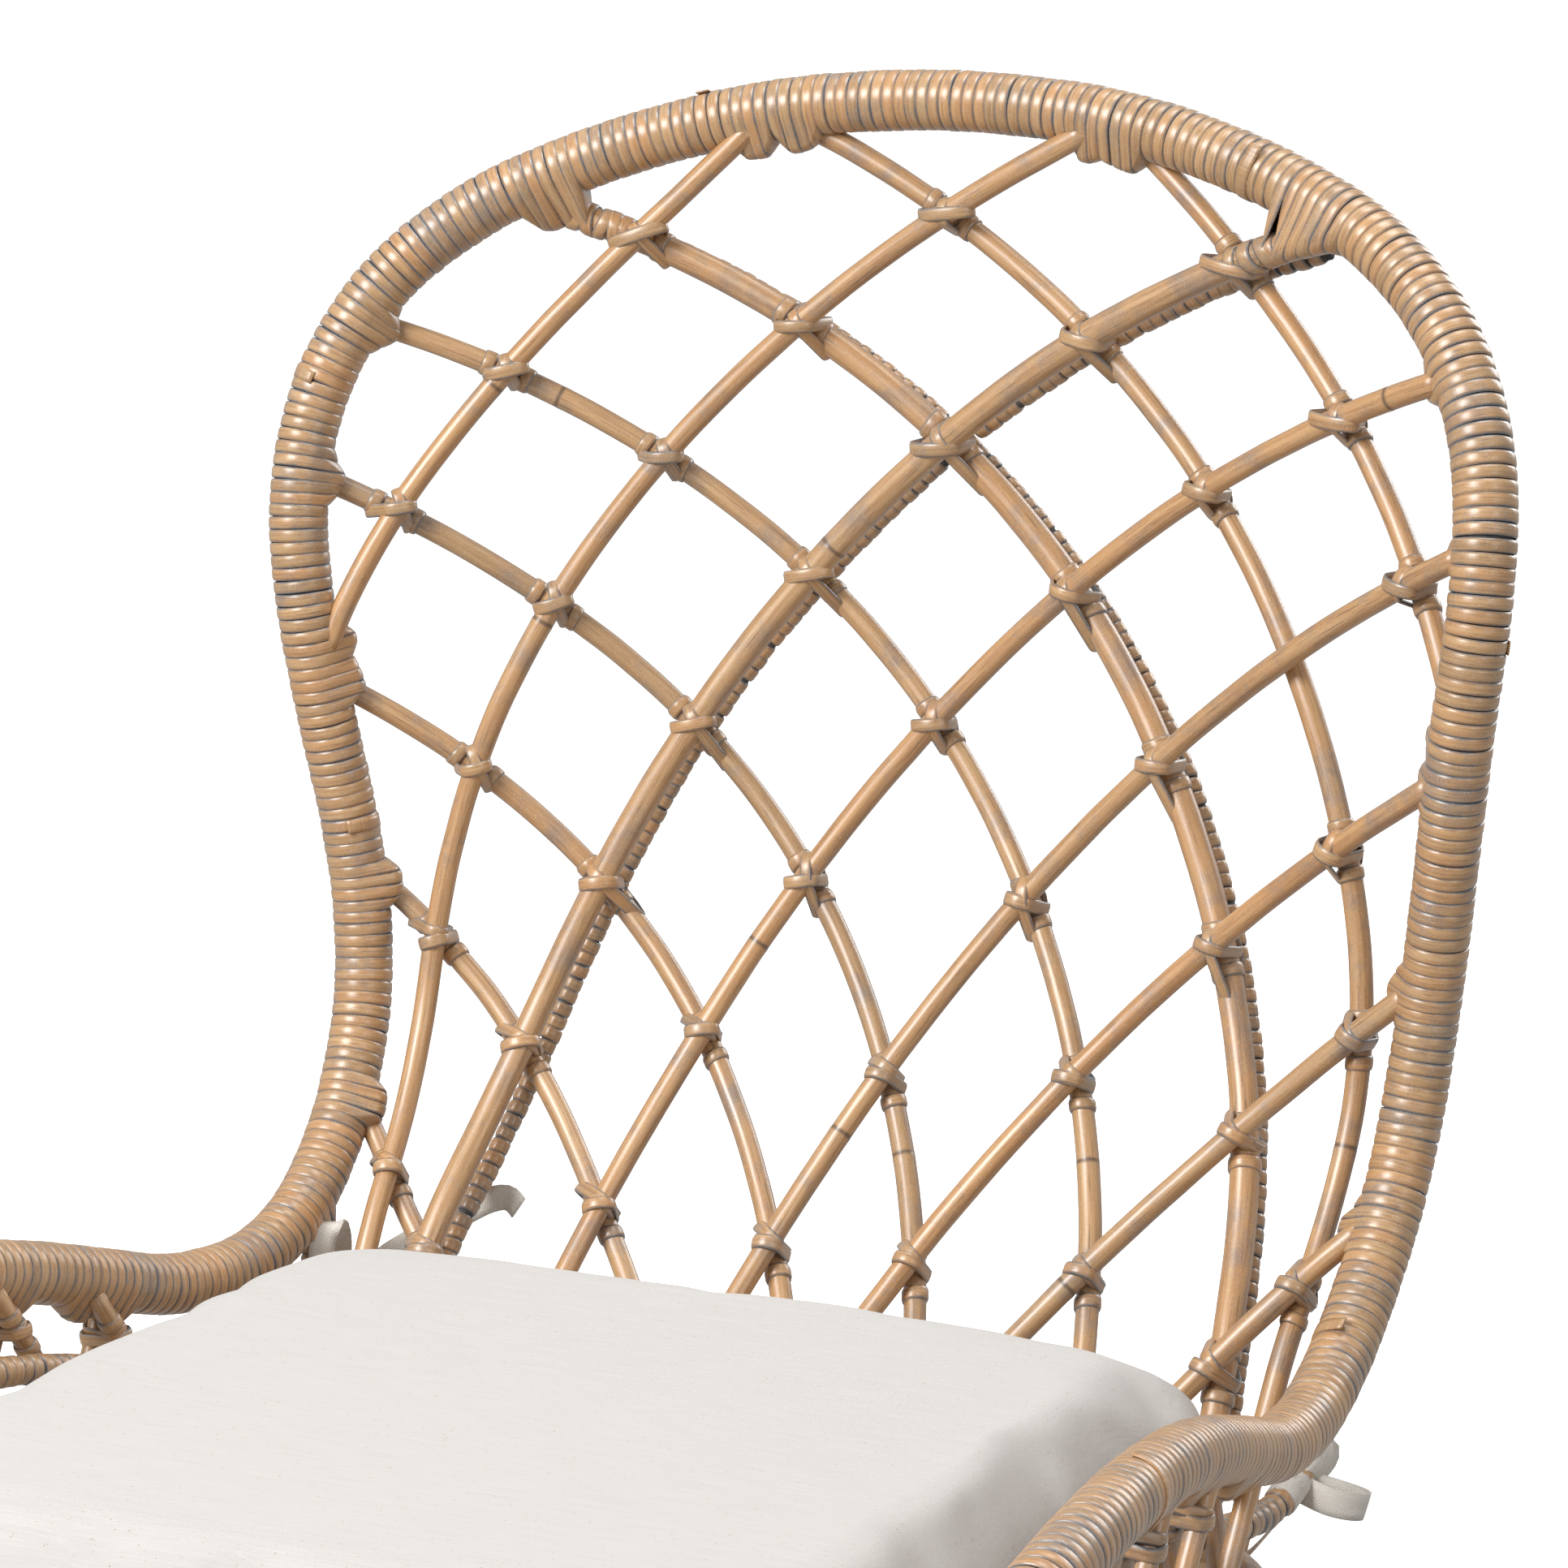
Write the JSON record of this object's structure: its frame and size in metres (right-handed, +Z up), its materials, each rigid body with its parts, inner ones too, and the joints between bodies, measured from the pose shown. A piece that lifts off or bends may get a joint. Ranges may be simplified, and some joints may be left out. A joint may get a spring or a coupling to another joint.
{
  "type": "rattan lattice-back lounge armchair",
  "caption": "Lounge armchair: one wrapped rattan hoop forms the balloon back and both arms, filled with a diamond lattice of tied poles, on four splayed legs, with a loose tied seat cushion.",
  "frame": {"origin": "on the floor, below the middle of the chair's bounding box", "axes": "+X across the chair, +Y to the back (the sitter faces -Y), +Z up"},
  "size_m": [0.6316, 0.7029, 0.9634],
  "materials": {
    "rattan_pole": "greywashed, satin lacquer",
    "rattan_frame": "greywashed, satin lacquer",
    "peel_wrap": "wound peel, greywashed, satin lacquer",
    "peel_knot": "wound peel, greywashed, satin lacquer",
    "cotton_canvas": "plain weave cotton canvas, matt",
    "cotton_tape": "herringbone twill tape, matt",
    "steel": "zinc plated",
    "foot_plastic": "moulded, matt"
  },
  "bodies": {
    "frame": {"arm_inner_left_1": "rattan_pole", "arm_inner_left_2": "rattan_pole", "arm_inner_left_3": "rattan_pole", "arm_inner_left_4": "rattan_pole", "arm_inner_right_1": "rattan_pole", "arm_inner_right_2": "rattan_pole", "arm_inner_right_3": "rattan_pole", "arm_inner_right_4": "rattan_pole", "arm_outer_left_1": "rattan_pole", "arm_outer_left_2": "rattan_pole", "arm_outer_left_3": "rattan_pole", "arm_outer_left_4": "rattan_pole", "arm_outer_right_1": "rattan_pole", "arm_outer_right_2": "rattan_pole", "arm_outer_right_3": "rattan_pole", "arm_outer_right_4": "rattan_pole", "back_rib_rod": "peel_wrap", "deck_bearer": "rattan_frame", "deck_poles": "rattan_frame", "feet": "foot_plastic", "front_rib_rod_lower": "peel_wrap", "front_rib_rod_upper": "peel_wrap", "knot_bands": "peel_knot", "lattice_back_1": "rattan_pole", "lattice_back_2": "rattan_pole", "lattice_back_3": "rattan_pole", "lattice_back_4": "rattan_pole", "lattice_back_5": "rattan_pole", "lattice_back_6": "rattan_pole", "lattice_back_7": "rattan_pole", "lattice_back_8": "rattan_pole", "lattice_front_1": "rattan_pole", "lattice_front_2": "rattan_pole", "lattice_front_3": "rattan_pole", "lattice_front_4": "rattan_pole", "lattice_front_5": "rattan_pole", "lattice_front_6": "rattan_pole", "lattice_front_7": "rattan_pole", "lattice_front_8": "rattan_pole", "leg_bolts": "steel", "leg_front_left": "rattan_frame", "leg_front_right": "rattan_frame", "leg_nuts": "steel", "leg_rear_left": "rattan_frame", "leg_rear_right": "rattan_frame", "leg_wraps": "peel_wrap", "lower_rail_left": "peel_wrap", "lower_rail_right": "peel_wrap", "rim_core": "rattan_frame", "rim_wrap": "peel_wrap", "seat_ring": "rattan_frame", "stretcher_front": "rattan_frame", "stretcher_left": "rattan_frame", "stretcher_rear": "rattan_frame", "stretcher_right": "rattan_frame", "tie_left": "cotton_tape", "tie_right": "cotton_tape"},
    "cushion": {"cushion": "cotton_canvas"}
  },
  "joints": [
    {"name": "cushion_lift", "type": "hinge", "parent": "frame", "child": "cushion", "pos_m": [0, 0.11049, 0.3863], "axis": [-1, 0, 0], "range_deg": [0, 52]}
  ]
}
